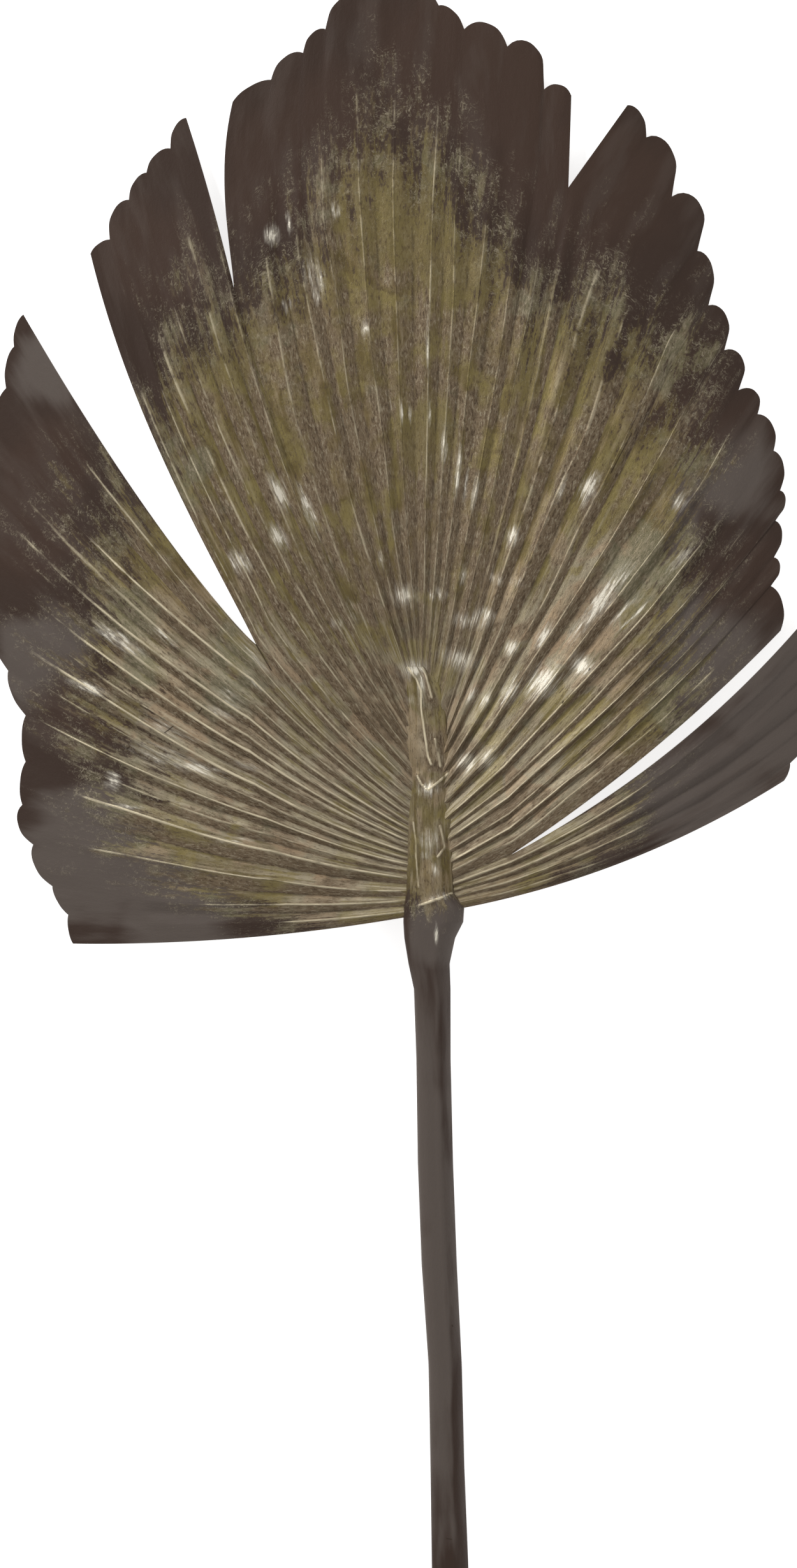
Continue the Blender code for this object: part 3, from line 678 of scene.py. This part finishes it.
def rachis_mesh():
    """The stalk, neck and costa as one fine skin through the sections."""
    table = np.array(SECTIONS, float)
    start, end = table[0, 0], table[-1, 0]
    stalk_rings, fine_rings = np.arange(start, FINE_FROM, STALK_STEP), np.arange(FINE_FROM, end, RING_STEP)
    ys = np.concatenate([stalk_rings, fine_rings, [end]])
    middle, half_width, half_height, rise = (np.interp(ys, table[:, 0], table[:, k]) for k in range(1, 5))
    outline, costa_outline = round_profile(PROFILE), round_profile(COSTA_PROFILE)
    count = len(outline)
    soft = smooth_step(ys, *COSTA_FROM)[:, None]
    x_share, z_share = (outline[:, k] * (1 - soft) + costa_outline[:, k] * soft for k in (0, 1))
    x = middle[:, None] + x_share * half_width[:, None]
    z = rise[:, None] + z_share * half_height[:, None]
    y = np.repeat(ys[:, None], count, axis=1)
    top = smooth_step(z_share, UPPER_FROM, UPPER_FULL - COSTA_LOWER * soft)
    crest, bright = np.full(x.shape, FOLD_REACH), np.zeros(x.shape)
    for course, height, half, shine in COSTA_FOLDS:
        away = distance_to(course, x, y)
        z = z + height * np.exp(-(away / half) ** 2) * top
        bright = np.where(away < crest, shine, bright)
        crest = np.where(top > FOLD_COUNTS, np.minimum(crest, away), crest)
    dents = sum(height * smooth_noise(x / length_x + NOISE_SHIFT, y / length_y + NOISE_SHIFT, seed)
                for height, length_x, length_y, seed in SKIN_DENTS)
    z = np.maximum(z + dents * top * smooth_step(y, *SKIN_DENTS_FROM), 0.0)
    points = np.dstack([x + HUB[0], y + HUB[1], z]).reshape(-1, 3) * MM

    ids = np.arange(len(ys) * count).reshape(len(ys), count)
    closed = np.column_stack([ids, ids[:, 0]])
    faces = quads(closed)
    caps = [points[ring].mean(axis=0) for ring in (ids[0], ids[-1])]
    hubs = len(points) + np.arange(2)
    for ring, hub in ((closed[0], hubs[0]), (closed[-1], hubs[1])):
        faces = np.vstack([faces, np.stack([ring[:-1], ring[1:], np.full(count, hub)], axis=-1)])
    points = np.vstack([points, caps])

    facts = rachis_facts(x, y, x_share, crest, bright, top)
    for key, values in facts.items():
        facts[key] = np.append(values.reshape(-1), [values.flat[0], values.flat[-1]])
    return points, facts, faces


class Graph:
    """Short calls for building one material out of nodes."""

    def __init__(self, name):
        self.material = bpy.data.materials.new(name)
        self.material.use_nodes = True
        self.nodes = self.material.node_tree.nodes
        self.links = self.material.node_tree.links
        self.shader = self.nodes["Principled BSDF"]

    def put(self, socket, value):
        if isinstance(value, bpy.types.NodeSocket):
            self.links.new(value, socket)
        else:
            socket.default_value = value

    def attribute(self, name):
        node = self.nodes.new("ShaderNodeAttribute")
        node.attribute_name = name
        return node.outputs["Fac"]

    def vector(self, x, y, z=0.0):
        node = self.nodes.new("ShaderNodeCombineXYZ")
        for socket, value in zip(node.inputs, (x, y, z)):
            self.put(socket, value)
        return node.outputs[0]

    def place(self):
        return self.nodes.new("ShaderNodeTexCoord").outputs["Object"]

    def math(self, operation, *values):
        node = self.nodes.new("ShaderNodeMath")
        node.operation = operation
        for socket, value in zip(node.inputs, values):
            self.put(socket, value)
        return node.outputs[0]

    def times(self, *values):
        return reduce(lambda a, b: self.math("MULTIPLY", a, b), values)

    def plus(self, *values):
        return reduce(lambda a, b: self.math("ADD", a, b), values)

    def opposite(self, share):
        return self.math("SUBTRACT", 1.0, share)

    def swing(self, noise, size):
        """How far a noise is off its middle, times a size."""
        return self.times(self.plus(noise, -0.5), size)

    def weigh(self, *pairs):
        """The sum of values, each times its weight."""
        return self.plus(*(self.times(value, weight) for value, weight in pairs))

    def stretch(self, vector, factors):
        node = self.nodes.new("ShaderNodeVectorMath")
        node.operation = "MULTIPLY"
        self.put(node.inputs[0], vector)
        node.inputs[1].default_value = factors
        return node.outputs[0]

    def noise(self, vector, scale, detail, roughness, distortion):
        node = self.nodes.new("ShaderNodeTexNoise")
        self.put(node.inputs["Vector"], vector)
        settings = dict(Scale=scale, Detail=detail, Roughness=roughness, Distortion=distortion)
        for key, value in settings.items():
            node.inputs[key].default_value = value
        return node.outputs["Fac"]

    def lined(self, folds, noise):
        """A noise with its own cell sizes across and along the folds."""
        cells, *rest = noise
        return self.noise(self.stretch(folds, (*cells, 1.0)), 1.0, *rest)

    def step(self, value, low, high):
        """0 at low, 1 at high, smooth between."""
        node = self.nodes.new("ShaderNodeMapRange")
        node.interpolation_type = "SMOOTHSTEP"
        for key, item in (("Value", value), ("From Min", low), ("From Max", high)):
            self.put(node.inputs[key], item)
        return node.outputs[0]

    def mix(self, share, a, b):
        node = self.nodes.new("ShaderNodeMix")
        node.data_type = "RGBA"
        for socket, value in zip((node.inputs[0], node.inputs[6], node.inputs[7]), (share, a, b)):
            self.put(socket, value)
        return node.outputs[2]

    def blend(self, share, a, b):
        node = self.nodes.new("ShaderNodeMix")
        for socket, value in zip(node.inputs[:4], (share, None, a, b)):
            if value is not None:
                self.put(socket, value)
        return node.outputs[0]

    def away_from(self, place, start, end):
        """Distance in plan from a straight stretch, with everything in metres."""
        course = np.subtract(end, start)
        split = self.nodes.new("ShaderNodeSeparateXYZ")
        self.put(split.inputs[0], place)
        x, y = self.plus(split.outputs[0], -start[0]), self.plus(split.outputs[1], -start[1])
        share = self.weigh((x, course[0] / (course @ course)), (y, course[1] / (course @ course)))
        share = self.math("MINIMUM", self.math("MAXIMUM", share, 0.0), 1.0)
        x = self.math("SUBTRACT", x, self.times(share, course[0]))
        y = self.math("SUBTRACT", y, self.times(share, course[1]))
        return self.math("SQRT", self.plus(self.times(x, x), self.times(y, y)))

    def bump(self, height, distance, normal=None):
        node = self.nodes.new("ShaderNodeBump")
        node.inputs["Distance"].default_value = distance
        self.put(node.inputs["Height"], height)
        if normal is not None:
            self.put(node.inputs["Normal"], normal)
        return node.outputs[0]


def finish_fields(g):
    """The places, facts and noises that the parts of the finish are made from."""
    f = SimpleNamespace(place=g.place())
    f.folds = g.vector(g.attribute("fold_x"), g.attribute("fold_y"))
    for key in ("reach", "upper", "bright", "rubbed", *ZONES):
        setattr(f, key, g.attribute(key))
    side = g.plus(g.math("FRACT", g.attribute("phase")), -0.5)
    aside = g.math("ABSOLUTE", side)
    f.crest = g.times(aside, g.attribute("gap"))
    f.groove = g.times(g.math("SUBTRACT", 0.5, aside), g.attribute("gap"))
    # Painted shade side: which side of its ridge a point lies on, times the lobe's painted shade side.
    f.painted_shade_side = g.times(side, g.attribute("painted_shade_side"))
    f.cloud, f.blotch = g.noise(f.place, *CLOUD), g.noise(f.place, *BLOTCH)
    f.fine, f.patches = g.noise(f.place, *FINE), g.noise(f.place, *PATCHES)
    f.grain, f.strokes = g.lined(f.folds, GRAIN), g.lined(f.folds, STROKES)
    f.streak, f.band = g.lined(f.folds, STREAK), g.lined(f.folds, BAND)
    f.feather, f.brush = g.lined(f.folds, FEATHER), g.lined(f.folds, BRUSH)
    f.edge = g.plus(f.reach, g.swing(f.band, 0.16), g.swing(f.streak, 0.12), g.swing(f.blotch, 0.06))
    f.inside = g.step(f.edge, -0.010, 0.040)
    f.depth = g.step(f.edge, 0.0, 0.090)
    return f


def ground_tint(g, f):
    """The umber ground: greyer and redder zones with cloudy edges, and soft stripes along the folds."""
    drift = g.plus(g.swing(f.cloud, 1.8), g.swing(f.band, 1.2))
    ground = g.mix(g.step(g.plus(f.grey, drift), 0.2, 0.9), UMBER, GREY_UMBER)
    ground = g.mix(g.step(g.plus(f.red, drift), 0.2, 0.9), ground, RED_UMBER)
    return g.mix(g.times(g.step(f.band, 0.45, 0.65), 0.22), ground, GREY_UMBER)


def bronze_cover(g, f):
    """Where bronze covers the ground: deep inside almost everywhere, toward its edge in feathered streaks
    and specks."""
    mottle = g.weigh((f.grain, 0.2), (f.feather, 0.4), (f.streak, 0.2), (f.blotch, 0.2))
    cover = g.step(g.math("SUBTRACT", mottle, g.blend(f.depth, 0.52, 0.40)), -0.05, 0.05)
    return g.times(f.inside, cover, g.blend(f.depth, 0.5, 1.0), f.upper)


def rough_tint(g, f):
    """Rough bronze, in short dark and pale strokes."""
    tint = g.mix(g.step(f.strokes, 0.37, 0.50), WORN_BROWN, DULL_BROWN)
    return g.mix(g.times(g.step(f.strokes, 0.54, 0.64), 0.7), tint, DULL_SILVER)


def smooth_tint(g, f, calm):
    """Smooth bronze, golden or silvery, calm and olive in places, and as a painted highlight palest on the
    ridges' sides toward the light.
    """
    golden = g.weigh((f.cloud, 0.3), (f.band, 0.5), (f.streak, 0.2))
    tint = g.mix(g.step(golden, 0.44, 0.62), OLIVE_BROWN, OLIVE_GOLD)
    silver = g.step(g.plus(f.silver, g.swing(f.streak, 2.4), g.swing(f.patches, 1.8)), 0.1, 1.1)
    tint = g.mix(g.times(silver, 0.8), tint, DULL_SILVER)
    spread = g.plus(f.patches, g.swing(f.streak, 0.35))
    rosy = g.times(g.step(spread, 0.51, 0.60), g.blend(f.silver, 0.15, 0.70))
    tint = g.mix(rosy, tint, ROSY_BRONZE)
    tint = g.mix(g.times(g.step(spread, 0.47, 0.39), 0.6), tint, OLIVE_GOLD)
    tint = g.mix(g.times(calm, 0.75), tint, CALM_OLIVE)
    # Painted highlight: pale bronze on each ridge's side toward the light.
    painted_lit_side = g.times(g.step(f.painted_shade_side, 0.06, -0.30), g.step(f.crest, 0.0065, 0.0005))
    striped = g.step(g.weigh((f.band, 0.5), (f.streak, 0.5)), 0.40, 0.58)
    tint = g.mix(g.times(painted_lit_side, striped, g.blend(f.silver, 0.50, 0.90)), tint, PAINTED_LIT_BRONZE)
    return g.mix(g.times(g.step(f.strokes, 0.46, 0.35), 0.6), tint, WORN_BROWN)


def bronze_tint(g, f):
    """The bronze's colour: rough in patches of wear and, as painted shade, on the ridges' sides away from
    the light, smooth elsewhere, green in its green zones and here and there at its edge."""
    # Wear in patches, plus painted shade on the ridges' sides away from the light.
    wear_and_painted_shade = g.weigh((f.band, 0.50), (f.blotch, 0.35), (f.patches, 0.25), (f.painted_shade_side, 0.26), (f.silver, -0.02))
    wear_and_painted_shade = g.plus(wear_and_painted_shade, g.blend(g.step(f.reach, 0.05, 0.17), -0.035, 0.022))
    calm = g.step(g.plus(f.olive, g.swing(f.streak, 2.0)), 0.3, 0.8)
    wear_and_painted_shade = g.times(g.step(wear_and_painted_shade, 0.46, 0.61), g.blend(calm, 1.0, 0.3))
    tint = g.mix(wear_and_painted_shade, smooth_tint(g, f, calm), rough_tint(g, f))
    fringe = g.opposite(g.step(g.math("ABSOLUTE", g.plus(f.reach, -0.012)), 0.012, 0.06))
    green = g.math("MAXIMUM", g.times(fringe, 0.5), f.green)
    green = g.step(g.plus(green, g.swing(f.blotch, 3.0)), 0.25, 1.0)
    green_tint = g.mix(g.times(g.step(f.strokes, 0.47, 0.58), 0.6), VERDIGRIS, DULL_SILVER)
    return g.mix(g.times(green, 0.55), tint, green_tint)


def hair_strokes(g, f):
    """Hair-fine curly strokes where the bronze runs out."""
    hair = 0.0
    for noise in CURLS:
        curl = g.math("ABSOLUTE", g.plus(g.lined(f.folds, noise), -0.5))
        hair = g.math("MAXIMUM", hair, g.opposite(g.step(curl, 0.010, 0.034)))
    sparse = g.step(g.plus(f.grain, g.times(f.blotch, 0.5)), 0.70, 0.82)
    outer = g.opposite(g.times(f.depth, 0.8))
    return g.times(hair, g.step(f.edge, -0.035, 0.02), sparse, outer, f.upper)


def crest_lines(g, f):
    """Crests scuffed to pale metal, in broken lines that come and go in strength."""
    wide = g.blend(f.band, 0.0003, 0.0018)
    line = g.opposite(g.step(f.crest, g.times(wide, 0.3), wide))
    broken = g.step(g.weigh((f.streak, 0.5), (f.blotch, 0.5)), g.blend(f.bright, 0.49, 0.30), 0.56)
    return g.times(line, broken, f.inside, g.math("POWER", f.bright, 0.75), f.upper)


def painted_glint_spots(g, f):
    """Painted highlights: glint spots with ragged cores and soft surroundings."""
    ragged = g.plus(g.swing(f.brush, 2.6), g.swing(f.grain, 0.8))
    spot = g.plus(f.rubbed, g.times(ragged, g.step(f.rubbed, 0.02, 0.35)))
    halo = g.times(g.step(spot, 0.05, 0.90), 0.38)
    return g.times(g.math("MAXIMUM", halo, g.step(spot, 0.55, 0.95)), f.upper)


def valley_darkening(g, f):
    # Darker in the valleys between the ridges, in blotches.
    darker_in_valleys = g.opposite(g.step(f.groove, 0.0002, 0.0018))
    return g.times(darker_in_valleys, g.step(f.blotch, 0.38, 0.62), f.inside, 0.5)


def crack_lines(g, f):
    cracks = 0.0
    for start, end, half in MARKS:
        away = g.away_from(f.place, (np.array(start) + HUB) * MM, (np.array(end) + HUB) * MM)
        away = g.plus(away, g.times(f.fine, MARK_RAGGED))
        mark = g.step(away, (half + MARK_FADE) * MM, half * MM * 0.5)
        cracks = g.math("MAXIMUM", cracks, mark)
    return g.times(cracks, f.upper)


def leaf_material():
    g = Graph("bronzed_leaf")
    f = finish_fields(g)
    bronze, hair = bronze_cover(g, f), hair_strokes(g, f)
    line, glint_highlight = crest_lines(g, f), painted_glint_spots(g, f)

    bare = g.mix(g.times(f.depth, 0.8), ground_tint(g, f), WORN_BROWN)
    finish = g.mix(bronze, bare, bronze_tint(g, f))
    finish = g.mix(valley_darkening(g, f), finish, DEEP_BROWN)
    finish = g.mix(g.times(hair, 0.6), finish, DULL_SILVER)
    # Painted highlight: the glint spots turn the colour toward a near-white metal.
    finish = g.mix(g.times(glint_highlight, 0.85), finish, GLINT_HIGHLIGHT_COLOUR)
    finish = g.mix(line, finish, CREAM)
    finish = g.mix(g.times(crack_lines(g, f), 0.85), finish, DEEP_BROWN)

    metal = g.math("MAXIMUM", g.times(line, 0.4), g.times(glint_highlight, 0.45))
    metal = g.math("MAXIMUM", g.times(bronze, 0.45), metal)
    rough = g.blend(metal, g.blend(f.fine, 0.55, 0.68), g.blend(f.streak, 0.28, 0.44))
    height = g.weigh((f.grain, 0.6), (f.streak, 0.5), (hair, 0.35))
    bead = g.bump(g.times(g.step(f.crest, 0.0009, 0.0), f.inside), 0.00030)
    normal = g.bump(height, 0.00040, g.bump(f.fine, 0.00006, bead))

    g.put(g.shader.inputs["Base Color"], finish)
    g.put(g.shader.inputs["Metallic"], metal)
    g.put(g.shader.inputs["Roughness"], rough)
    g.put(g.shader.inputs["Normal"], normal)
    g.shader.inputs["Specular IOR Level"].default_value = LEAF_SPECULAR
    return g.material


def floor_material():
    g = Graph("pale_floor")
    g.shader.inputs["Base Color"].default_value = FLOOR_COLOUR
    g.shader.inputs["Roughness"].default_value = FLOOR_ROUGHNESS
    g.shader.inputs["Specular IOR Level"].default_value = FLOOR_SPECULAR
    g.shader.inputs["Emission Color"].default_value = WHITE
    g.shader.inputs["Emission Strength"].default_value = FLOOR_GLOW
    return g.material


def make_floor():
    mesh = bpy.data.meshes.new("floor")
    corners = [(-1, -1), (1, -1), (1, 1), (-1, 1)]
    mesh.from_pydata([(x * FLOOR_REACH, y * FLOOR_REACH, 0) for x, y in corners], [], [(0, 1, 2, 3)])
    floor = bpy.data.objects.new("floor", mesh)
    floor.data.materials.append(floor_material())
    bpy.context.scene.collection.objects.link(floor)


def add_light(name, place, size, power):
    """A round lamp that points at the middle of the floor."""
    data = bpy.data.lights.new(name, "AREA")
    data.shape = "DISK"
    data.size = size
    data.energy = power
    lamp = bpy.data.objects.new(name, data)
    lamp.location = place
    aim = -lamp.location
    lamp.rotation_mode = "QUATERNION"
    lamp.rotation_quaternion = aim.to_track_quat("-Z", "Y")
    bpy.context.scene.collection.objects.link(lamp)


def make_lights():
    world = bpy.data.worlds.new("studio")
    world.use_nodes = True
    world.node_tree.nodes["Background"].inputs["Color"].default_value = WHITE
    world.node_tree.nodes["Background"].inputs["Strength"].default_value = SKY_LIGHT
    bpy.context.scene.world = world
    for light in LIGHTS:
        add_light(*light)


def make_camera():
    data = bpy.data.cameras.new("camera")
    data.sensor_width = SENSOR
    data.lens = SENSOR * CAMERA_HEIGHT / (VIEW_LONG_SIDE * MM)
    camera = bpy.data.objects.new("camera", data)
    camera.location = (VIEW_CENTRE[0] * MM, VIEW_CENTRE[1] * MM, CAMERA_HEIGHT)
    bpy.context.scene.collection.objects.link(camera)
    bpy.context.scene.camera = camera


def main():
    bpy.context.scene.view_settings.view_transform = "Standard"
    material = leaf_material()
    for name, (points, facts, faces) in (("blade", blade_mesh()), ("stalk_and_costa", rachis_mesh())):
        piece = add_piece(name, points, faces, facts)
        piece.data.materials.append(material)
        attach(piece, "root")
        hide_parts("palm_leaf")
    make_floor()
    make_lights()
    make_camera()


main()
